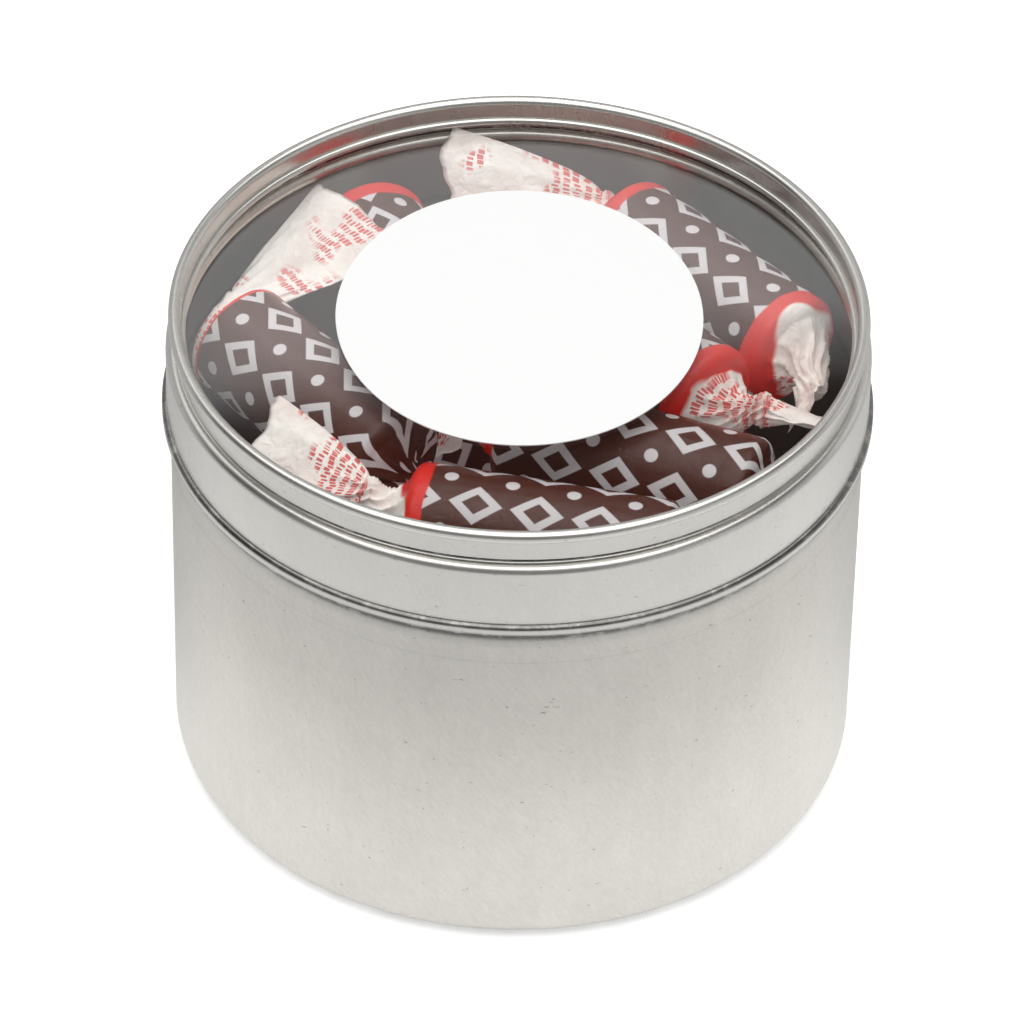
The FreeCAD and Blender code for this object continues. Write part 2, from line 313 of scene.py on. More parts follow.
class Effects:
    """Shader node groups that more than one finish uses, each built once.

    A noise is given by its scale, its octaves and how strong the finer ones are.
    """

    DRAWN = (1 / MM, 1 / MM, 0.11 / MM)
    CLOUD_SQUASH = (1.0, 1.0, 0.6)
    SPECK_SQUASH = (1.0, 1.0, 1.8)
    FINE_STREAK = (2.4, 3.0, 0.6)
    BROAD_STREAK = (0.32, 3.0, 0.55)
    CLOUD = (0.1, 5.0, 0.72)
    SPECK = (1.3, 1.0, 0.4)
    SPECK_EDGE = (0.74, 0.80)
    BRUSH = (2.2, 2.0, 0.6)
    BRUSH_LEAN = 0.7
    BRUSH_STRETCH = 0.25
    GRAIN = (2.6, 3.0, 0.7)
    # The mottle that breaks up the lines of painted shade and dirt.
    MOTTLE = (420.0, 4.0, 0.7)
    MOTTLE_EDGE = (0.30, 0.55)
    WANDER = (0.5, 2.0)
    WANDER_REACH = 1.5
    CREASE = (0.55, 2.0)
    CREASE_MEAN = 0.35
    FIBRE = (9.0, 2.0, 0.7)
    PAPER_TONE = 0.2

    def __init__(self) -> None:
        """Build every group."""
        self.rolled_sheet = self._rolled_sheet()
        self.seam_line = self._seam_line()
        self.crumple = self._crumple()

    def _rolled_sheet(self) -> NodeTree:
        """Streaks, clouds and specks of tinplate: a tone about one, a roughness change and a height."""
        sheet, given = open_group(
            "ShaderNodeTree", "rolled_sheet",
            {"Place": Sort.VECTOR, "Streaks": Sort.VALUE, "Clouds": Sort.VALUE, "Specks": Sort.VALUE},
            {"Tone": Sort.VALUE, "Rough": Sort.VALUE, "Height": Sort.VALUE})
        drawn = given["Place"] * self.DRAWN
        whole = given["Place"] * PER_MM
        fine = sheet.noise(drawn, *self.FINE_STREAK) - 0.5
        broad = sheet.noise(drawn, *self.BROAD_STREAK) - 0.5
        cloud = sheet.noise(whole * self.CLOUD_SQUASH, *self.CLOUD) - 0.5
        speck = sheet.ramp(sheet.noise(whole * self.SPECK_SQUASH, *self.SPECK), *self.SPECK_EDGE)
        x, y, z = sheet.parts(whole)
        leaning = sheet.vector(x + z * self.BRUSH_LEAN, y, (z - x * self.BRUSH_LEAN) * self.BRUSH_STRETCH)
        brushed = sheet.noise(leaning, *self.BRUSH) - 0.5
        grain = (sheet.noise(whole, *self.GRAIN) - 0.5) * 0.6 + brushed * 0.7
        streaks = (fine * 0.6 + broad) * given["Streaks"]
        clouds = cloud * given["Clouds"]
        specks = speck * given["Specks"] * 4.0
        return sheet.put_out({
            "Tone": 1.0 + streaks + clouds + grain * given["Specks"] * 3.0 - specks,
            "Rough": streaks * 0.5 + clouds * 0.5 + specks * 0.6,
            "Height": fine + grain - speck})

    def _seam_line(self) -> NodeTree:
        """A mask of a thin line of painted shade and dirt that runs round a piece at one height, broken a
        little by a mottle.
        """
        sheet, given = open_group(
            "ShaderNodeTree", "seam_line",
            {"Place": Sort.VECTOR, "Height": Sort.VALUE, "Half Width": Sort.VALUE, "Weight": Sort.VALUE},
            {"Mask": Sort.VALUE})
        height = sheet.parts(given["Place"])[2]
        off = abs(height - given["Height"]) / given["Half Width"]
        shade_and_dirt = sheet.ramp(sheet.noise(given["Place"], *self.MOTTLE), *self.MOTTLE_EDGE) * 0.5 + 0.5
        return sheet.put_out({"Mask": sheet.ramp(off, 1.0, 0.1) * shade_and_dirt * given["Weight"]})

    def _crumple(self) -> NodeTree:
        """Creases and fibres of paper: a height, and a tone about one that carries the fibres and painted
        shade, darker along the creases and lighter between them.
        """
        sheet, given = open_group(
            "ShaderNodeTree", "crumple",
            {"Place": Sort.VECTOR, "Creases": Sort.VALUE, "Fibres": Sort.VALUE},
            {"Height": Sort.VALUE, "Tone": Sort.VALUE})
        whole = given["Place"] * PER_MM
        wander = sheet.noise(whole, *self.WANDER)
        astray = whole + sheet.vector(wander, wander, wander) * self.WANDER_REACH
        crease = abs(sheet.noise(astray, *self.CREASE) - 0.5) * 2.0
        fibre = sheet.noise(whole, *self.FIBRE) - 0.5
        # Painted shade: the paper is darker along its creases and lighter between them.
        hollow_shade = (self.CREASE_MEAN - crease) * self.PAPER_TONE * given["Creases"]
        return sheet.put_out({
            "Height": crease * given["Creases"] + fibre * given["Fibres"],
            "Tone": 1.0 - hollow_shade + fibre * given["Fibres"] * self.PAPER_TONE})


class Finish:
    """A material under way: its sheet, its shader and the point in space that its patterns read."""

    def __init__(self, name: str) -> None:
        """Start a material with one Principled shader."""
        self.material = bpy.data.materials.new(name)
        self.material.use_nodes = True
        self.sheet = Sheet(self.material.node_tree)
        self.shader = self.material.node_tree.nodes["Principled BSDF"]
        self.place = self.sheet.field("ShaderNodeTexCoord", out="Object")

    def set(self, **terms: Term) -> None:
        """Feed the shader's inputs, each named in lower case with an underscore for a space."""
        inputs = {socket.name.lower().replace(" ", "_"): socket for socket in self.shader.inputs}
        for name, term in terms.items():
            self.sheet.feed(inputs[name], term)

    def bump(self, height: Field, depth: float, strength: float = 1.0) -> None:
        """Raise the surface by a height, one unit of which measures a depth in millimetres."""
        feeds = {"Strength": strength, "Distance": depth * MM, "Height": height}
        self.set(normal=self.sheet.field("ShaderNodeBump", feeds))

    def blend(self, kind: str, feeds: dict) -> None:
        """Put out the shader by way of a node that joins it, where a feed is None, to another."""
        own = Field(self.sheet, self.shader.outputs[0])
        joined = self.sheet.field(kind, {key: own if term is None else term for key, term in feeds.items()})
        self.sheet.feed(self.material.node_tree.nodes["Material Output"].inputs["Surface"], joined)


@dataclass(frozen=True)
class Line:
    """A dark line round a piece, mostly painted shade with some dirt: its height and half width in
    millimetres, and how dark it is.
    """

    height: float
    half_width: float
    weight: float

    def raised(self, rise: float) -> "Line":
        """The same line higher up."""
        return Line(self.height + rise, self.half_width, self.weight)


@dataclass(frozen=True)
class Hollow:
    """Painted shade over the inside of a can, where the sweets keep the light out: its corner's centre and
    radius, its floor and its rim, in millimetres.
    """

    corner_centre: float
    corner_radius: float
    floor: float
    rim: float
    depth: float = 0.18
    curl: float = 1.6
    shade: float = 0.62
    skin_edge: float = 0.05
    floor_edge: float = 0.06
    rim_edge: float = 0.2

    def mask(self, sheet: Sheet, place: Field) -> Field:
        """A mask of the painted shade inside, which leaves out the outer wall, the underside and the rim's
        curl.
        """
        x, y, z = sheet.parts(place)
        height = z / MM
        aside = sheet.reckon("MAXIMUM", sheet.length(sheet.vector(x, y)) / MM - self.corner_centre, 0.0)
        below = sheet.reckon("MAXIMUM", self.corner_radius - height, 0.0)
        off = sheet.length(sheet.vector(aside, below))
        above = sheet.edge(height, self.floor, self.floor_edge)
        under = sheet.edge(height, self.rim - self.curl, -self.rim_edge)
        return sheet.edge(off, self.corner_radius - self.depth, -self.skin_edge) * above * under


@dataclass(frozen=True)
class Tinplate:
    """Satin tinplate with drawn streaks, painted shade inside a can, and dark lines round the piece that are
    mostly painted shade with some dirt.
    """

    name: str
    tint: Colour
    shade_and_dirt: Colour
    roughness: float
    streaks: float
    clouds: float
    specks: float
    lines: tuple[Line, ...]
    hollow_shade: Hollow | None = None
    grain_depth: float = 0.004
    grain_strength: float = 0.5

    def build(self, effects: Effects) -> Material:
        """Make the material with the shared groups."""
        finish = Finish(self.name)
        sheet = finish.sheet
        marks = sheet.group(effects.rolled_sheet, {
            "Place": finish.place, "Streaks": self.streaks, "Clouds": self.clouds, "Specks": self.specks})
        shade = sheet.toned(marks["Tone"], self.tint)
        # Painted shade darkens the inside of the can.
        if self.hollow_shade:
            inside = self.hollow_shade.mask(sheet, finish.place) * self.hollow_shade.shade
            shade = sheet.mix(inside, shade, BLACK)
        # Each line paints shade, with some dirt, in the colour of the lines.
        for line in self.lines:
            mark = sheet.group(effects.seam_line, {
                "Place": finish.place, "Height": line.height * MM, "Half Width": line.half_width * MM,
                "Weight": line.weight})
            shade = sheet.mix(mark["Mask"], shade, self.shade_and_dirt)
        finish.set(base_color=shade, metallic=1.0, roughness=marks["Rough"] + self.roughness)
        finish.bump(marks["Height"], self.grain_depth, self.grain_strength)
        return finish.material


@dataclass(frozen=True)
class ClearSheet:
    """Clear glossy plastic with a trace of haze, which lets lamplight through to what lies under it."""

    name: str = "window_clear"
    tint: Colour = (0.985, 0.985, 0.98, 1.0)
    roughness: float = 0.015
    index: float = 1.47
    rub: Span = (900.0, 2.0)
    rub_share: float = 0.02
    wave: Span = (45.0, 1.0)
    wave_depth: float = 0.05
    wave_strength: float = 0.3

    def build(self) -> Material:
        """Make the material."""
        finish = Finish(self.name)
        sheet = finish.sheet
        rub = sheet.noise(finish.place, *self.rub) - 0.5
        finish.set(base_color=self.tint, transmission_weight=1.0, ior=self.index, metallic=0.0,
                   roughness=rub * self.rub_share + self.roughness)
        finish.bump(sheet.noise(finish.place, *self.wave), self.wave_depth, self.wave_strength)
        passing = sheet.reckon("MAXIMUM", sheet.ray(Ray.SHADOW), sheet.ray(Ray.DIFFUSE))
        open_air = sheet.field("ShaderNodeBsdfTransparent", {"Color": self.tint})
        finish.blend("ShaderNodeMixShader", {0: passing, 1: None, 2: open_air})
        return finish.material


@dataclass(frozen=True)
class LabelPaper:
    """Smooth white label paper."""

    name: str = "label_paper"
    white: Colour = (0.93, 0.93, 0.925, 1.0)
    roughness: float = 0.5
    roughness_change: float = 0.3
    fibres: float = 0.12
    fibre_depth: float = 0.01
    fibre_strength: float = 0.4

    def build(self, effects: Effects) -> Material:
        """Make the material with the shared groups."""
        finish = Finish(self.name)
        grain = finish.sheet.group(effects.crumple, {
            "Place": finish.place, "Creases": 0.0, "Fibres": self.fibres})
        finish.set(base_color=finish.sheet.toned(grain["Tone"], self.white),
                   roughness=grain["Height"] * self.roughness_change + self.roughness)
        finish.bump(grain["Height"], self.fibre_depth, self.fibre_strength)
        return finish.material


@dataclass(frozen=True)
class ChewCandy:
    """Dense brown chew with a dull, slightly dimpled skin."""

    name: str = "chew_candy"
    light: Colour = colour(104, 62, 40)
    dark: Colour = colour(70, 38, 24)
    roughness: float = 0.45
    roughness_change: float = 0.2
    dimples: Span = (400.0, 4.0)
    dimple_depth: float = 0.2
    dimple_strength: float = 0.5

    def build(self) -> Material:
        """Make the material."""
        finish = Finish(self.name)
        dimple = finish.sheet.noise(finish.place, *self.dimples)
        finish.set(base_color=finish.sheet.mix(dimple, self.dark, self.light),
                   roughness=dimple * self.roughness_change + self.roughness)
        finish.bump(dimple, self.dimple_depth, self.dimple_strength)
        return finish.material


@dataclass(frozen=True)
class WaxedWrapper:
    """Waxed paper, printed brown with lozenges and dots over the roll, red at its ends and white beyond.

    The print is in millimetres, and a noise is given by its scale and its octaves.
    """

    girth: float
    name: str = "wrapper_waxed"
    brown: Colour = colour(76, 37, 27)
    pale: Colour = colour(204, 198, 200)
    red: Colour = colour(212, 36, 26)
    white: Colour = colour(248, 242, 236)
    thin_white: Colour = colour(232, 218, 212)
    thin: Span = (130.0, 2.0)
    thin_edge: Span = (0.35, 0.65)
    band_start: float = -1.0
    band_start_edge: float = 0.12
    band_end: float = 1.5
    band_end_edge: float = 0.2
    wobble: Span = (150.0, 2.0)
    wobble_reach: float = 1.2
    sway: Span = (75.0, 1.0)
    sway_reach: float = 6.0
    lozenges_round: int = 6
    lozenge_pitch: float = 6.6
    lozenge_half_width: float = 2.3
    lozenge_half_length: float = 2.9
    stroke_share: float = 0.52
    stroke_edge: float = 0.04
    dot_radius: float = 0.75
    dot_edge: float = 0.08
    dash_width: float = 0.7
    dash_length: float = 1.2
    dash_row_shift: float = 0.37
    dash_middle: float = 0.35
    dash_jitter: float = 0.3
    dash_growth: float = 0.25
    dash_side_edge: Span = (0.27, 0.19)
    dash_end_edge: Span = (0.34, 0.26)
    dash_ink: float = 0.85
    patches: Span = (140.0, 1.0)
    patch_edge: Span = (0.50, 0.56)
    creases: float = 0.35
    tail_creases: float = 0.7
    fibres: float = 0.15
    crease_depth: float = 0.26
    crease_strength: float = 0.9
    roughness: float = 0.26
    tail_roughness: float = 0.2
    wax: float = 0.15
    tail_wax_loss: float = 0.1
    wax_roughness: float = 0.12
    gloss: float = 0.3
    painted_glow: float = 0.15

    def build(self, effects: Effects) -> Material:
        """Make the material with the shared groups."""
        finish = Finish(self.name)
        sheet = finish.sheet
        across, along, _ = sheet.parts(sheet.field("ShaderNodeTexCoord", out="UV"))
        wobble = sheet.noise(finish.place, *self.wobble) - 0.5
        sway = sheet.noise(finish.place, *self.sway) - 0.5
        past = sheet.field("ShaderNodeAttribute", out="Fac", attribute_name="past")
        past = past + wobble * self.wobble_reach
        is_red = sheet.edge(past, self.band_start, self.band_start_edge)
        is_white = sheet.edge(past + sway * self.sway_reach, self.band_end, self.band_end_edge)
        paper = sheet.group(effects.crumple, {
            "Place": finish.place, "Fibres": self.fibres,
            "Creases": is_white * self.tail_creases + self.creases})
        thin = sheet.ramp(sheet.noise(finish.place, *self.thin), *self.thin_edge)
        plain = sheet.mix(thin, self.white, self.thin_white)
        dashes = self._dashes(sheet, finish.place, across, along)
        tail = sheet.mix(dashes * self.dash_ink, plain, self.red)
        shade = sheet.mix(self._lozenges(sheet, across, along), self.brown, self.pale)
        shade = sheet.mix(is_red, shade, self.red)
        shade = sheet.mix(is_white, shade, tail)
        shade = sheet.toned(paper["Tone"], shade)
        # Painted light: the paper glows with a share of its own colour.
        finish.set(base_color=shade, roughness=is_white * self.tail_roughness + self.roughness,
                   coat_weight=self.wax - is_white * self.tail_wax_loss, coat_roughness=self.wax_roughness,
                   specular_ior_level=self.gloss, emission_strength=1.0,
                   emission_color=sheet.mix(self.painted_glow, BLACK, shade))
        finish.bump(paper["Height"], self.crease_depth, self.crease_strength)
        return finish.material

    def _lozenges(self, sheet: Sheet, across: Field, along: Field) -> Field:
        """A mask of rows of open lozenges with dots between them, round the roll and along it."""
        cell = self.girth / self.lozenges_round
        side = abs(sheet.reckon("WRAP", across, cell / 2, -cell / 2))
        run = abs(sheet.reckon("WRAP", along, self.lozenge_pitch / 2, -self.lozenge_pitch / 2))
        reach = side / self.lozenge_half_width + run / self.lozenge_half_length
        outer = sheet.edge(reach, 1.0, -self.stroke_edge)
        frame = outer * sheet.edge(reach, self.stroke_share, self.stroke_edge)
        corner = sheet.length(sheet.vector(side - cell / 2, run - self.lozenge_pitch / 2))
        return sheet.reckon("MAXIMUM", frame, sheet.edge(corner, self.dot_radius, -self.dot_edge))

    def _dashes(self, sheet: Sheet, place: Field, across: Field, along: Field) -> Field:
        """Patches of short red dashes on the white paper.

        Args:
            sheet: Where the nodes go.
            place: The point in space.
            across: Distance across the tail.
            along: Distance from the roll's middle.

        Returns:
            A mask of the print.
        """
        line = along / self.dash_length
        row = sheet.reckon("FLOOR", line)
        column = across / self.dash_width + row * self.dash_row_shift
        cell = sheet.reckon("FLOOR", column)
        chance = sheet.node("ShaderNodeTexWhiteNoise", {"Vector": sheet.vector(cell, row)})
        growth = Field(sheet, chance.outputs["Value"]) * self.dash_growth
        shift = sheet.parts(Field(sheet, chance.outputs["Color"]))[1] * self.dash_jitter
        side = abs(sheet.reckon("FRACT", column) - 0.5)
        run = abs(sheet.reckon("FRACT", line) - self.dash_middle - shift)
        outer, inner = (growth + edge for edge in self.dash_side_edge)
        dash = sheet.ramp(side, outer, inner) * sheet.ramp(run, *self.dash_end_edge)
        return dash * sheet.ramp(sheet.noise(place, *self.patches), *self.patch_edge)


@dataclass(frozen=True)
class Twist:
    """One twisted end of a wrapper: where its knot lies and how its tail leaves it."""

    knot: tuple[float, float, float]
    heading: float
    pitch: float
    roll: float
    length_share: float
    width_share: float
    print_slide: float = 0.0
    band_share: float = 1.0

    def along(self) -> Vector:
        """The way the tail points."""
        turn, rise = math.radians(self.heading), math.radians(self.pitch)
        return Vector((math.cos(turn) * math.cos(rise), math.sin(turn) * math.cos(rise), math.sin(rise)))

    def wide(self) -> Vector:
        """The way the tail spreads."""
        along = self.along()
        level = UP.cross(along).normalized()
        turn = math.radians(self.roll)
        return level * math.cos(turn) + along.cross(level) * math.sin(turn)


@dataclass(frozen=True)
class Roll:
    """A wrapped roll as its chew's node in the frame places it, in millimetres."""

    centre: Vector
    along: Vector
    radius: float
    half_length: float

    @classmethod
    def of_node(cls, node: str, paper: float) -> "Roll":
        """Read a roll from a chew's node, with its paper's outside a little off the chew."""
        mesh = bpy.data.objects[node].data
        points = np.empty(len(mesh.vertices) * 3)
        mesh.vertices.foreach_get("co", points)
        points = points.reshape(-1, 3) / MM
        low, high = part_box(node)
        centre = (low + high) / 2 / MM
        spread = points - np.array(centre)
        spread_xy = spread[:, :2]
        axis = np.linalg.eigh(spread_xy.T @ spread_xy)[1][:, -1]
        axis = axis if axis[0] > 0 else -axis
        radius = (high.z - low.z) / 2 / MM + paper
        return cls(centre, Vector((axis[0], axis[1], 0.0)), radius, float(np.abs(spread_xy @ axis).max()))


@dataclass(frozen=True)
class Creasing:
    """How a wrapper's paper bends over the roll's end, gathers, twists, fans out and creases.

    Breaks part half a wrapper into body, bend, gather, knot and fan. A plane sets a noise apart.
    """

    breaks: tuple[float, ...] = (0.0, 0.20, 0.32, 0.60, 0.70, 1.0)
    pull: float = 0.5
    turn_in: Span = (0.15, 1.0)
    upright: float = 0.001
    gather_power: float = 1.7
    knot_swell: float = 0.12
    spread_power: float = 0.65
    close_power: float = 3.0
    tip_closing: Span = (1.0, 0.97)
    seed_step: float = 7.3
    ragged_scale: float = 1.6
    ragged_plane: float = 3.7
    ragged_share: float = 0.3
    bow_share: float = 0.05
    gather_turn: float = 0.6
    knot_turn: float = 0.4
    fold_slant: float = 0.25
    stray_scale: float = 1.3
    stray_reach: float = 5.0
    shoulder_fold: float = 0.14
    shoulder_span: Span = (0.2, 1.0)
    gather_fold: float = 0.86
    gather_span: Span = (0.0, 0.45)
    pleat_scale: float = 1.3
    pleat_plane: float = 9.1
    pleat_stray: float = 0.8
    flow_scales: Span = (0.8, 1.3)
    flow_reach: float = 3.0
    crease_side: Span = (1.1, 0.4)
    crease_run: Span = (1.2, 0.3)
    crease_plane: float = 4.0
    crease_reach: float = 5.0
    lift_rest: float = 0.5
    lift_power: float = 0.7
    dent_scales: Span = (1.2, 9.0)
    dent_depth: float = 0.5
    dent_share: float = 0.6
    dent_span: Span = (0.04, 0.2)


@dataclass
class Wrappers:
    """The waxed papers round the chews: six that lie loose under the window, and three rows of four below."""

    paper: float = 0.35
    chew_edge_share: float = 0.2
    shoulder_length_share: float = 0.22
    end_radius_share: float = 0.75
    knot_radius_share: float = 0.29
    knot_length_share: float = 0.2
    tail_length: float = 11.87
    fan_half_width_share: float = 0.9
    tip_thickness: float = 0.16
    pleat_depth: float = 0.6
    pleats: float = 1.7
    gather_folds: float = 11.0
    gather_depth: float = 0.19
    twist_turns: float = 0.8
    around: int = 72
    along: int = 96
    row_around: int = 36
    row_along: int = 56
    row_twist: Twist = Twist((0.41, 0, 0), 0, 0, 90, 0.97, 0.88)
    row_spin: float = 12.0
    row_seed: int = 7
    row_numbers: range = range(1, 13)
    row_crease_seed: float = 0.3
    half_seed_step: float = 0.5
    print_turn: float = 2.1
    weld: float = 0.004
    creasing: Creasing = Creasing()

    END_INPUTS = {"Outward": Sort.VECTOR, "Knot": Sort.VECTOR, "Tail": Sort.VECTOR, "Wide": Sort.VECTOR,
                  "Tail Length": Sort.VALUE, "Fan Half Width": Sort.VALUE, "Print Turn": Sort.VALUE,
                  "Print Slide": Sort.VALUE, "Band Share": Sort.VALUE}
    SIZE_INPUTS = {"Around": Sort.COUNT, "Along": Sort.COUNT, "Centre": Sort.VECTOR} | dict.fromkeys((
        "Roll Radius", "Half Length", "Shoulder Length", "End Radius", "Knot Radius", "Knot Length",
        "Tip Thickness", "Pleats", "Pleat Depth", "Folds", "Fold Depth", "Turns", "Seed"), Sort.VALUE)

    def top_row(self) -> dict[str, tuple[int, Twist, Twist]]:
        """The loose sweets by place: the number of each one's node, and its two twisted ends."""
        return {
            "left": (13, Twist((0.36, -0.28, 0.15), 36, 17.5, -10, 1.60, 1.60, 0.4, 0.15),
                     Twist((0.16, 0.44, -0.36), -15, 5, 20, 0.54, 0.34, -7.0)),
            "back": (14, Twist((0.08, 0, -0.66), 208, 0, 90, 0.42, 0.33, 0.6),
                     Twist((0.47, 0.16, 0.26), -87, 9, 42, 1.02, 0.56)),
            "right": (15, Twist((0.33, -0.06, 0.21), 184, 5, -44, 1.60, 1.45),
                      Twist((0.77, -0.38, 0.07), -99, 0, 60, 0.48, 0.58, 0.4)),
            "middle": (16, Twist((0.33, -0.06, -0.17), 91, 0, 90, 0.35, 0.50),
                       Twist((0.92, 0.10, 0.45), -20, 2, -30, 0.80, 0.85)),
            "front_right": (17, Twist((0.25, -0.16, -0.35), 72, 0, 90, 0.38, 0.48, -2.0),
                            Twist((0.20, -0.31, -0.35), -108, 0, 90, 0.42, 0.53, -7.0)),
            "front": (18, Twist((0.60, -0.04, 0.35), 156, 4, -25, 1.25, 1.25),
                      Twist((0.14, 0.25, -0.38), 40, 0, 90, 0.25, 0.45, -7.0)),
        }

    def half_tree(self) -> NodeTree:
        """The rule for half a wrapper, from the middle of the roll to the tip of one tail.

        Returns:
            A geometry group that puts out half a tube with its paper's own coordinates.
        """
        rule = self.creasing
        sheet, given = open_group("GeometryNodeTree", "wrapper_half", self.SIZE_INPUTS | self.END_INPUTS,
                                  {"Geometry": Sort.SHAPE})
        grid = sheet.field("GeometryNodeMeshGrid", {
            "Size X": 1.0, "Size Y": 1.0, "Vertices X": given["Around"], "Vertices Y": given["Along"]})
        x, y, _ = sheet.parts(sheet.field("GeometryNodeInputPosition"))
        angle = (x + 0.5) * math.tau
        run = y + 0.5
        body, bend, gather, knot, fan = (
            sheet.ramp(run, first, last, False) for first, last in zip(rule.breaks, rule.breaks[1:]))
        side, above = sheet.cosine(angle), sheet.sine(angle)
        seed = given["Seed"] * rule.seed_step
        outward, tail = given["Outward"], given["Tail"]

        # The line that the tube's centre follows, from the roll through the knot to the tail's ragged tip.
        quarter = bend * (math.pi / 2)
        axial = given["Half Length"] * body + given["Shoulder Length"] * sheet.sine(quarter)
        end = outward * (given["Half Length"] + given["Shoulder Length"]) + given["Centre"]
        throw = given["Knot"] - end
        reach = sheet.length(throw)
        control = outward * (reach * rule.pull)
        drawn = control * (gather * (1.0 - gather) * 2.0) + throw * (gather * gather)
        ragged = sheet.stir(side * rule.ragged_scale, seed, rule.ragged_plane, 2.0) * rule.ragged_share
        length = (given["Tail Length"] - given["Knot Length"]) * (1.0 - side * side * rule.bow_share + ragged)
        centre = given["Centre"] + outward * axial + drawn + tail * (given["Knot Length"] * knot)
        centre = centre + tail * (length * fan)

        # The directions across the tube, which turn from the roll's to the tail's.
        lead = sheet.ramp(gather, *rule.turn_in)
        forward = sheet.unit(outward * (1.0 - lead) + tail * lead)
        left = sheet.reckon("CROSS_PRODUCT", tuple(UP), outward)
        sense = sheet.reckon("SIGN", sheet.dot(left, given["Wide"]) + rule.upright)
        level = left * (1.0 - lead) + given["Wide"] * (sense * lead)
        level = sheet.unit(level - forward * sheet.dot(level, forward))
        rise = sheet.reckon("CROSS_PRODUCT", forward, level)

        # Half the tube's width and depth, which part as the tail fans out.
        roll, end_radius, knot_radius = given["Roll Radius"], given["End Radius"], given["Knot Radius"]
        round_radius = (end_radius + (roll - end_radius) * sheet.cosine(quarter)
                        - (end_radius - knot_radius) * (1.0 - (1.0 - gather) ** rule.gather_power)
                        + knot_radius * rule.knot_swell * sheet.sine(knot * math.pi))
        spread = fan ** rule.spread_power
        closed = (1.0 - fan) ** rule.close_power
        half_width = round_radius + (given["Fan Half Width"] - knot_radius) * spread
        tip = given["Tip Thickness"] * sheet.ramp(fan, *rule.tip_closing, False) * spread
        depth = round_radius * closed + tip

        # Gathered folds round the end, pleats and creases over the tail, and dents over the roll.
        turn = (gather * gather * rule.gather_turn + knot * rule.knot_turn) * given["Turns"] * math.tau
        stray = sheet.stir(side, above, seed, scale=rule.stray_scale) * rule.stray_reach
        folds = angle * given["Folds"] + turn * given["Folds"] * rule.fold_slant + stray
        fold = 1.0 - abs(sheet.sine(folds * 0.5)) * 2.0
        folding = (sheet.ramp(bend, *rule.shoulder_span) * rule.shoulder_fold
                   + sheet.ramp(gather, *rule.gather_span) * rule.gather_fold)
        folded = given["Fold Depth"] * folding * closed
        swell = 1.0 + fold * folded - folded
        bent = side + sheet.stir(side * rule.pleat_scale, seed, rule.pleat_plane) * rule.pleat_stray
        pleat = sheet.reckon("PINGPONG", bent * given["Pleats"] + seed, 1.0) - 0.5
        flow_side, flow_run = rule.flow_scales
        flow = sheet.stir(side * flow_side, fan * flow_run, seed, 2.0) * rule.flow_reach
        crease_x = side * rule.crease_side[0] + fan * rule.crease_side[1]
        crease_y = fan * rule.crease_run[0] - side * rule.crease_run[1]
        crease = abs(sheet.stir(crease_x, crease_y, seed + rule.crease_plane))
        lift = given["Pleat Depth"] * (pleat + flow - crease * rule.crease_reach + rule.lift_rest)
        lift = lift * (fan ** rule.lift_power)
        dent_side, dent_run = rule.dent_scales
        dent = sheet.stir(side * dent_side, above * dent_side, run * dent_run + seed, 2.0)
        dented = dent * rule.dent_depth * sheet.ramp(run, *rule.dent_span) * (1.0 - fan)
        place = (centre + level * (side * half_width * swell + side * dented * rule.dent_share)
                 + rise * (above * depth * swell + above * dented * rule.dent_share + lift))

        print_across = angle * roll * (1.0 - knot) + side * given["Fan Half Width"] * knot
        print_across = print_across + given["Print Turn"]
        print_along = axial + reach * gather + given["Knot Length"] * knot + length * fan
        past = (print_along - given["Half Length"] + given["Print Slide"]) / given["Band Share"]
        named = sheet.field("GeometryNodeStoreNamedAttribute", {
            "Geometry": grid, "Name": "UVMap", "Value": sheet.vector(print_across, print_along)},
            data_type="FLOAT2", domain="CORNER")
        named = sheet.field("GeometryNodeStoreNamedAttribute", {
            "Geometry": named, "Name": "past", "Value": past})
        moved = sheet.field("GeometryNodeSetPosition", {"Geometry": named, "Position": place})
        return sheet.put_out({"Geometry": moved})

    def whole_tree(self) -> NodeTree:
        """The rule for a whole wrapper: two halves welded at the middle of the roll."""
        half = self.half_tree()
        sides = ("First", "Second")
        ends = {f"{side} {label}": sort for side in sides for label, sort in self.END_INPUTS.items()}
        sheet, given = open_group(
            "GeometryNodeTree", "twisted_wrapper",
            {"Geometry": Sort.SHAPE} | self.SIZE_INPUTS | ends | {"Paper": Sort.MATERIAL},
            {"Geometry": Sort.SHAPE})
        joined = sheet.node("GeometryNodeJoinGeometry")
        for order, side in enumerate(sides):
            feeds = {label: given[label] for label in self.SIZE_INPUTS}
            feeds |= {label: given[f"{side} {label}"] for label in self.END_INPUTS}
            feeds["Seed"] = given["Seed"] + order * self.half_seed_step
            sheet.feed(joined.inputs[0], sheet.group(half, feeds)["Geometry"])
        welded = sheet.field("GeometryNodeMergeByDistance", {
            "Geometry": Field(sheet, joined.outputs[0]), "Distance": self.weld})
        shaded = sheet.field("GeometryNodeSetShadeSmooth", {"Geometry": welded})
        sized = sheet.field("GeometryNodeTransform", {"Geometry": shaded, "Scale": (MM, MM, MM)})
        return sheet.put_out_dressed(sized, given["Paper"])

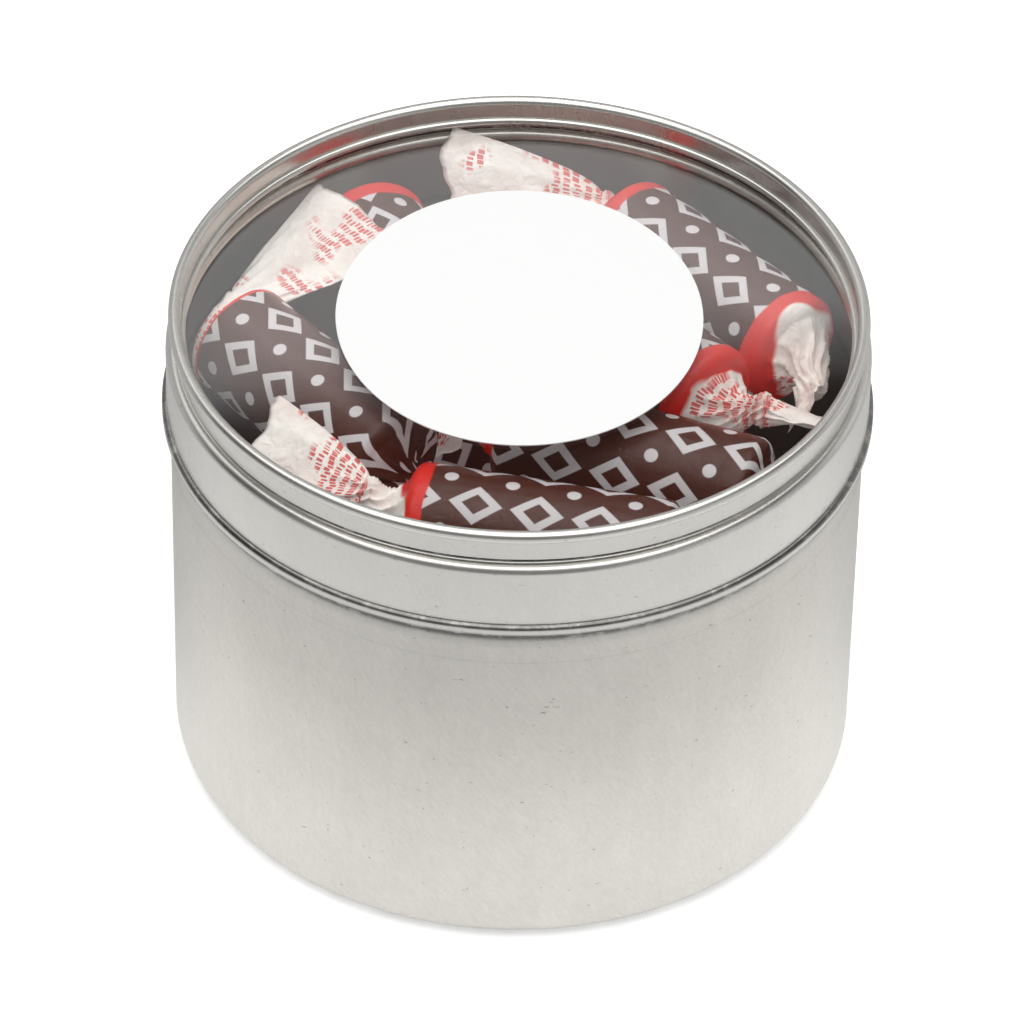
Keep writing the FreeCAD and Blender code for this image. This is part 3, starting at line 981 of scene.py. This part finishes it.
    @staticmethod
    def rows_tree() -> NodeTree:
        """The rule for the lower rows: a copy of one straight sweet on every point, turned to its row."""
        sheet, given = open_group(
            "GeometryNodeTree", "sweet_rows",
            {"Geometry": Sort.SHAPE, "Sweet": Sort.OBJECT, "Spin": Sort.VALUE, "Seed": Sort.COUNT,
             "Paper": Sort.MATERIAL}, {"Geometry": Sort.SHAPE})
        sweet = sheet.field("GeometryNodeObjectInfo", {"Object": given["Sweet"]}, "Geometry")
        heading = sheet.field("GeometryNodeInputNamedAttribute", {"Name": "heading"}, data_type="FLOAT")
        chance = sheet.field("FunctionNodeRandomValue", {"Seed": given["Seed"]}, 1, data_type="FLOAT")
        spin = (chance - 0.5) * given["Spin"] * 2.0
        turned = sheet.field("FunctionNodeEulerToRotation", {0: sheet.vector(spin, 0.0, heading)})
        copies = sheet.field("GeometryNodeInstanceOnPoints", {
            "Points": given["Geometry"], "Instance": sweet, "Rotation": turned})
        return sheet.put_out_dressed(copies, given["Paper"])

    def size_inputs(self, roll: Roll, around: int, along: int, seed: float) -> dict[str, object]:
        """Values by name for the inputs that both halves of a wrapper share."""
        return {
            "Around": around + 1, "Along": along, "Centre": roll.centre, "Roll Radius": roll.radius,
            "Half Length": roll.half_length, "Shoulder Length": roll.radius * self.shoulder_length_share,
            "End Radius": roll.radius * self.end_radius_share,
            "Knot Radius": roll.radius * self.knot_radius_share,
            "Knot Length": roll.radius * self.knot_length_share, "Tip Thickness": self.tip_thickness,
            "Pleats": self.pleats, "Pleat Depth": self.pleat_depth, "Folds": self.gather_folds,
            "Fold Depth": self.gather_depth, "Turns": self.twist_turns, "Seed": seed,
        }

    def end_inputs(self, side: str, roll: Roll, outward: Vector, twist: Twist, turn: float
                   ) -> dict[str, object]:
        """Values for the inputs of one end.

        Args:
            side: First or Second.
            roll: The roll under the paper.
            outward: The way that the roll's end faces.
            twist: The knot and tail at that end.
            turn: How far the print is turned round the roll.

        Returns:
            The values by input name.
        """
        beyond, aside, above = (share * roll.radius for share in twist.knot)
        root = roll.centre + outward * (roll.half_length + roll.radius * self.shoulder_length_share + beyond)
        values = {
            "Outward": outward, "Knot": root + UP.cross(outward) * aside + UP * above, "Tail": twist.along(),
            "Wide": twist.wide(), "Tail Length": self.tail_length * twist.length_share,
            "Fan Half Width": roll.radius * self.fan_half_width_share * twist.width_share, "Print Turn": turn,
            "Print Slide": twist.print_slide, "Band Share": twist.band_share,
        }
        return {f"{side} {label}": value for label, value in values.items()}

    def wrapper(self, name: str, tree: NodeTree, roll: Roll, twists: tuple[Twist, Twist],
                paper: Material, fineness: tuple[int, int], seed: float) -> Object:
        """Make one wrapper as a plain mesh.

        Args:
            name: The piece's name.
            tree: The rule for a whole wrapper.
            roll: The roll under the paper.
            twists: Its two ends.
            paper: The finish.
            fineness: Points round the tube, and rings in each half.
            seed: Sets its creases and the turn of its print apart from the others'.

        Returns:
            The wrapper.
        """
        turn = seed * self.print_turn
        values = self.size_inputs(roll, *fineness, seed)
        values |= self.end_inputs("First", roll, -roll.along, twists[0], turn)
        values |= self.end_inputs("Second", roll, roll.along, twists[1], -turn)
        values["Paper"] = paper
        return grown(name, bpy.data.meshes.new(name), tree, values)

    def build(self, paper: Material) -> list[Object]:
        """Make every wrapper in the waxed paper, and put each in its CAD node's place."""
        tree = self.whole_tree()
        pieces = []
        for order, (place, (number, first, second)) in enumerate(self.top_row().items()):
            roll = self.roll(number)
            piece = self.wrapper(f"top_wrapper_{place}", tree, roll, (first, second), paper,
                                 (self.around, self.along), order + 1.0)
            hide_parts(f"wrapper_{number:02d}")
            pieces.append(piece)
        pieces.append(self.lower_rows(tree, paper))
        for piece in pieces:
            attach(piece, "can")
        return pieces

    def roll(self, number: int) -> Roll:
        """The roll round one chew, without the chew's rounded edge."""
        whole = Roll.of_node(f"chew_{number:02d}", self.paper)
        return Roll(whole.centre, whole.along, whole.radius,
                    whole.half_length - (whole.radius - self.paper) * self.chew_edge_share)

    def lower_rows(self, tree: NodeTree, paper: Material) -> Object:
        """The hidden rows as one mesh, with a copy of a straight sweet on each chew's place."""
        rolls = [self.roll(number) for number in self.row_numbers]
        straight = Roll(Vector(), Vector((1.0, 0.0, 0.0)), rolls[0].radius, rolls[0].half_length)
        back = replace(self.row_twist, heading=180)
        sweet = self.wrapper("row_sweet", tree, straight, (back, self.row_twist), paper,
                             (self.row_around, self.row_along), self.row_crease_seed)
        points = bpy.data.meshes.new("row_points")
        points.from_pydata([roll.centre * MM for roll in rolls], [], [])
        headings = points.attributes.new("heading", "FLOAT", "POINT")
        headings.data.foreach_set("value", [math.atan2(roll.along.y, roll.along.x) for roll in rolls])
        rows = grown("lower_wrappers", points, self.rows_tree(), {
            "Sweet": sweet, "Spin": math.radians(self.row_spin), "Seed": self.row_seed, "Paper": paper})
        bpy.data.objects.remove(sweet)
        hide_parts(*(f"wrapper_{number:02d}" for number in self.row_numbers))
        return rows


def metres(span: Span) -> Span:
    """A span in millimetres, as one in metres."""
    return span[0] * MM, span[1] * MM


def linked(name: str, data: ID) -> Object:
    """A new object in the scene."""
    piece = bpy.data.objects.new(name, data)
    bpy.context.scene.collection.objects.link(piece)
    return piece


def grown(name: str, base: Mesh, tree: NodeTree, values: dict[str, object]) -> Object:
    """Run a geometry tree on a mesh and keep the result as a plain mesh.

    Args:
        name: The piece's name.
        base: What the tree starts from.
        tree: The geometry tree.
        values: A value for each of its inputs, by name.

    Returns:
        A piece at the origin without modifiers.
    """
    piece = linked(name, base)
    modifier = piece.modifiers.new(name, "NODES")
    modifier.node_group = tree
    for item in tree.interface.items_tree:
        if item.in_out == "INPUT" and item.name in values:
            modifier[item.identifier] = values[item.name]
    evaluated = piece.evaluated_get(bpy.context.evaluated_depsgraph_get())
    mesh = bpy.data.meshes.new_from_object(evaluated)
    piece.modifiers.clear()
    piece.data = mesh
    mesh.name = name
    bpy.data.meshes.remove(base)
    return piece


def dress(node: str, material: Material) -> None:
    """Give a CAD node a finish through its material slots."""
    piece = bpy.data.objects[node]
    if not piece.material_slots:
        piece.data.materials.append(material)
    for slot in piece.material_slots:
        slot.material = material


@dataclass
class Turning:
    """The rule for turned sheet: the outline that a CAD node shows on its seam, carried round the axis."""

    steps: int = 256
    crease: float = 32.0
    reach: float = 2e-7
    digits: int = 7

    def tree(self) -> NodeTree:
        """The rule as a geometry tree that takes an outline and puts out a smooth turned mesh."""
        sheet, given = open_group(
            "GeometryNodeTree", "turned_sheet",
            {"Geometry": Sort.SHAPE, "Radius": Sort.VALUE, "Steps": Sort.COUNT, "Crease": Sort.VALUE,
             "Sheet": Sort.MATERIAL}, {"Geometry": Sort.SHAPE})
        outline = sheet.field("GeometryNodeMeshToCurve", {"Mesh": given["Geometry"]})
        path = sheet.field("GeometryNodeCurvePrimitiveCircle", {
            "Resolution": given["Steps"], "Radius": given["Radius"]})
        swept = sheet.field("GeometryNodeCurveToMesh", {"Curve": path, "Profile Curve": outline})
        welded = sheet.field("GeometryNodeMergeByDistance", {"Geometry": swept, "Distance": self.reach})
        smooth = sheet.field("GeometryNodeSetShadeSmooth", {"Geometry": welded, "Shade Smooth": True})
        bend = sheet.field("GeometryNodeInputMeshEdgeAngle")
        sharp = sheet.reckon("GREATER_THAN", bend, given["Crease"])
        creased = sheet.field("GeometryNodeSetShadeSmooth", {
            "Geometry": smooth, "Selection": sharp, "Shade Smooth": False}, domain="EDGE")
        return sheet.put_out_dressed(creased, given["Sheet"])

    def outline(self, node: str) -> list[tuple[float, float]]:
        """Read the outline of a turned node from the edges on its seam.

        Args:
            node: The CAD node.

        Returns:
            Radius and height of each corner in order, from axis to axis, or round a closed ring.
        """
        mesh = bpy.data.objects[node].data
        joined: dict[tuple[float, float], set[tuple[float, float]]] = {}
        for edge in mesh.edges:
            ends = [mesh.vertices[index].co for index in edge.vertices]
            if all(abs(end.y) < self.reach and end.x > -self.reach for end in ends):
                first, last = ((round(end.x, self.digits), round(end.z, self.digits)) for end in ends)
                if first != last:
                    joined.setdefault(first, set()).add(last)
                    joined.setdefault(last, set()).add(first)
        spot = min(joined, key=lambda corner: (len(joined[corner]), corner[1]))
        order = [spot]
        while True:
            ahead = [corner for corner in sorted(joined[spot]) if corner not in order]
            if not ahead:
                break
            spot = ahead[0]
            order.append(spot)
        if len(joined[order[0]]) == 1:
            order = [(0.0, order[0][1]), *order, (0.0, order[-1][1])]
        turns = sum(a[0] * b[1] - b[0] * a[1] for a, b in zip(order, order[1:] + order[:1]))
        return order if turns < 0 else order[::-1]

    def build(self, name: str, node: str, tree: NodeTree, finish: Material) -> Object:
        """Turn one sheet.

        Args:
            name: The piece's name.
            node: The CAD node whose outline it takes and whose place it fills.
            tree: The rule as nodes.
            finish: The material.

        Returns:
            The piece.
        """
        outline = self.outline(node)
        radius = max(corner[0] for corner in outline)
        closed = outline[0][0] > self.reach
        base = bpy.data.meshes.new(name)
        count = len(outline)
        edges = [(index, (index + 1) % count) for index in range(count if closed else count - 1)]
        base.from_pydata([(corner[0] - radius, -corner[1], 0.0) for corner in outline], edges, [])
        piece = grown(name, base, tree, {
            "Radius": radius, "Steps": self.steps, "Crease": math.radians(self.crease), "Sheet": finish})
        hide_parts(node)
        return piece


@dataclass
class Tin:
    """The can and its slip lid, turned again from their CAD outlines so that their sheet shades smoothly.

    The foot line is placed from the can's foot, and the other dark lines from the lid's hem. The foot line is
    painted shade at the foot. The can's other lines are a faint darker line lower down and the painted shadow
    of the hem. The lid's lines are painted shade, with some dirt, in its groove, in its crease and under its
    hem's curl.
    """

    foot_line: Line = Line(0.35, 0.5, 0.9)
    can_lines: tuple[Line, ...] = (Line(-4.3, 0.12, 0.1), Line(-0.7, 0.8, 0.75), Line(-0.7, 2.0, 0.25))
    lid_lines: tuple[Line, ...] = (Line(9.3, 0.27, 1.0), Line(1.25, 0.4, 0.75), Line(0.1, 0.55, 1.0))
    corner_radius: float = 2.5
    floor: float = 0.72

    def build(self, effects: Effects) -> list[Object]:
        """Make the can and the lid ring, with the shared groups in their finishes."""
        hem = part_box("lid_ring")[0].z / MM
        low, high = (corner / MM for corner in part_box("can_body"))
        # Painted shade inside the can, and lines that are mostly painted shade.
        inside = Hollow(high.x - self.corner_radius, self.corner_radius, self.floor, high.z)
        can_lines = (self.foot_line.raised(low.z), *(line.raised(hem) for line in self.can_lines))
        lid_lines = tuple(line.raised(hem) for line in self.lid_lines)
        can_finish = Tinplate(
            "can_tinplate_satin", tint=colour(208, 205, 199), shade_and_dirt=colour(62, 61, 62), roughness=0.36,
            streaks=0.07, clouds=0.24, specks=0.08, lines=can_lines, hollow_shade=inside)
        lid_finish = Tinplate(
            "lid_tinplate_satin", tint=colour(213, 211, 206), shade_and_dirt=colour(40, 38, 37), roughness=0.28,
            streaks=0.06, clouds=0.1, specks=0.05, lines=lid_lines)
        turning = Turning()
        tree = turning.tree()
        can = turning.build("can_sheet", "can_body", tree, can_finish.build(effects))
        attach(can, "can")
        lid = turning.build("lid_sheet", "lid_ring", tree, lid_finish.build(effects))
        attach(lid, "lid")
        return [can, lid]


@dataclass
class Window:
    """The clear pane in the lid and the bare oval label on it, which keep their CAD shapes."""

    pane: ClearSheet = ClearSheet()
    label: LabelPaper = LabelPaper()

    def build(self, effects: Effects) -> list[str]:
        """Dress the pane and its label, and give back their nodes."""
        dress("window_pane", self.pane.build())
        dress("window_label", self.label.build(effects))
        return ["window_pane", "window_label"]


@dataclass
class Studio:
    """A white floor, soft light and the photograph's camera.

    Lengths are in millimetres, and the room's walls are parted by the way that a ray points.
    """

    elevation: float = 39.81
    tilt: float = 1.18
    distance: float = 770.0
    target_height: float = 44.7
    aim_right: float = -0.617
    aim_up: float = -12.07
    lens: float = 249.9
    near_clip: float = 10.0
    floor_half: float = 3000.0
    floor_tint: Colour = (0.82, 0.82, 0.82, 1.0)
    floor_roughness: float = 0.9
    floor_glow: float = 0.55
    # The near glow, the side glow and the back shade paint light and shade on the floor that only reflections
    # show.
    near_glow: float = 0.52
    side_glow: float = 0.07
    back_shade: float = 0.3
    far_near: Span = (95.0, 42.0)
    front_span: Span = (25.0, -15.0)
    back_span: Span = (0.0, 60.0)
    side_span: Span = (-40.0, 80.0)
    base_level: float = 0.03
    back_lean: float = 0.10
    back_top: Span = (0.643, 0.630)
    back_turn: Span = (0.1, 0.5)
    back_level: float = 0.42
    back_glare: float = 1.05
    glare_rise: Span = (0.50, 0.60)
    front_turn: Span = (0.1, -0.4)
    front_level: float = 0.2
    right_turn: Span = (0.3, 0.95)
    right_top: Span = (0.65, 0.35)
    right_level: float = 0.45
    left_turn: Span = (-0.3, -0.95)
    left_top: Span = (0.30, 0.02)
    left_level: float = 0.35
    ceiling_rise: Span = (0.80, 0.97)
    ceiling_level: float = 0.5
    lamp_height: float = 900.0
    lamp_size: float = 1200.0
    lamp_watts: float = 8.3

    def camera(self) -> None:
        """Place the camera as the photograph's was."""
        rise, lean = math.radians(self.elevation), math.radians(self.tilt)
        forward = Vector((0.0, math.cos(rise), -math.sin(rise)))
        level_up = Vector((0.0, math.sin(rise), math.cos(rise)))
        side = Vector((1.0, 0.0, 0.0))
        right = side * math.cos(lean) + level_up * math.sin(lean)
        up = level_up * math.cos(lean) - side * math.sin(lean)
        target = UP * self.target_height
        eye = target - forward * self.distance
        aim = (target + right * self.aim_right + up * self.aim_up - eye).normalized()
        right = aim.cross(up).normalized()
        up = right.cross(aim)
        data = bpy.data.cameras.new("photo_camera")
        data.lens = self.lens
        data.clip_start = self.near_clip * MM
        lookout = linked("photo_camera", data)
        turn = Matrix((right, up, -aim)).transposed().to_4x4()
        lookout.matrix_world = Matrix.Translation(eye * MM) @ turn
        bpy.context.scene.camera = lookout

    def floor(self) -> None:
        """Lay a white floor that shows white to the camera and keeps the tin's shadow, with painted light and
        shade on it that only reflections show.
        """
        half = self.floor_half * MM
        mesh = bpy.data.meshes.new("floor")
        corners = [(-half, -half, 0.0), (half, -half, 0.0), (half, half, 0.0), (-half, half, 0.0)]
        mesh.from_pydata(corners, [], [(0, 1, 2, 3)])
        floor = linked("floor", mesh)
        finish = Finish("floor_white")
        sheet = finish.sheet
        seen = sheet.reckon("MAXIMUM", sheet.ray(Ray.CAMERA), sheet.ray(Ray.TRANSMISSION))
        mirrored = sheet.ray(Ray.GLOSSY)
        x, y, _ = sheet.parts(finish.place)
        # Painted shade: the floor behind the tin shows darker in reflections only.
        behind = mirrored * sheet.ramp(y, *metres(self.back_span)) * self.back_shade
        finish.set(base_color=sheet.mix(behind, self.floor_tint, BLACK), roughness=self.floor_roughness,
                   specular_ior_level=0.0)
        # Painted light: the floor glows near the tin's front, and faintly towards the right, in reflections
        # only.
        near = sheet.ramp(sheet.length(finish.place), *metres(self.far_near), False)
        near = near * sheet.ramp(y, *metres(self.front_span))
        across = sheet.ramp(x, *metres(self.side_span)) * self.side_glow
        level = seen * self.floor_glow + mirrored * (near * self.near_glow + across)
        glow = sheet.field("ShaderNodeEmission", {"Color": WHITE, "Strength": level})
        finish.blend("ShaderNodeAddShader", {0: None, 1: glow})
        mesh.materials.append(finish.material)

    def world(self) -> None:
        """Light the tin from a pale room that is darker in front, and show the camera plain white."""
        world = bpy.data.worlds.new("pale_room")
        world.use_nodes = True
        bpy.context.scene.world = world
        sheet = Sheet(world.node_tree)
        x, y, z = sheet.parts(sheet.field("ShaderNodeTexCoord", out="Generated"))
        back_wall = sheet.ramp(z + x * self.back_lean, *self.back_top) * sheet.ramp(y, *self.back_turn)
        back_wall = back_wall * (self.back_level + sheet.ramp(z, *self.glare_rise) * self.back_glare)
        front_wall = sheet.ramp(y, *self.front_turn) * self.front_level
        right_wall = sheet.ramp(x, *self.right_turn) * sheet.ramp(z, *self.right_top) * self.right_level
        left_wall = sheet.ramp(x, *self.left_turn) * sheet.ramp(z, *self.left_top) * self.left_level
        ceiling = sheet.ramp(z, *self.ceiling_rise) * self.ceiling_level
        level = self.base_level + back_wall + front_wall + right_wall + left_wall + ceiling
        camera = sheet.ray(Ray.CAMERA)
        level = sheet.reckon("MAXIMUM", level * (1.0 - camera), camera)
        shown = sheet.field("ShaderNodeBackground", {"Color": WHITE, "Strength": level})
        sheet.feed(world.node_tree.nodes["World Output"].inputs["Surface"], shown)

    def lamp(self) -> None:
        """Hang one broad soft lamp above the tin."""
        data = bpy.data.lights.new("overhead_lamp", "AREA")
        data.size = self.lamp_size * MM
        data.energy = self.lamp_watts
        lamp = linked("overhead_lamp", data)
        lamp.location = UP * self.lamp_height * MM
        lamp.visible_camera = False

    def build(self) -> None:
        """Set up the whole stage."""
        self.camera()
        self.floor()
        self.world()
        self.lamp()
        bpy.context.scene.view_settings.view_transform = "Standard"


def corners(box: tuple[Vector, Vector]) -> list[list[float]]:
    """A box as plain lists of numbers."""
    return [list(corner) for corner in box]


def main() -> None:
    """Dress the tin and set up the stage."""
    logging.basicConfig(level=logging.INFO, format="%(name)s: %(message)s")
    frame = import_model()
    effects = Effects()
    for piece in Tin().build(effects):
        log.info("turned %s with %d faces", piece.name, len(piece.data.polygons))
    for node in Window().build(effects):
        log.info("dressed %s", node)
    candy = ChewCandy().build()
    for node in frame["nodes"]:
        if node.startswith("chew_"):
            dress(node, candy)
            log.info("dressed %s", node)
    wrappers = Wrappers()
    roll = wrappers.roll(wrappers.top_row()["left"][0])
    paper = WaxedWrapper(roll.radius * math.tau).build(effects)
    for piece in wrappers.build(paper):
        log.info("built %s with %d faces", piece.name, len(piece.data.polygons))
    Studio().build()


if __name__ == "__main__":
    main()
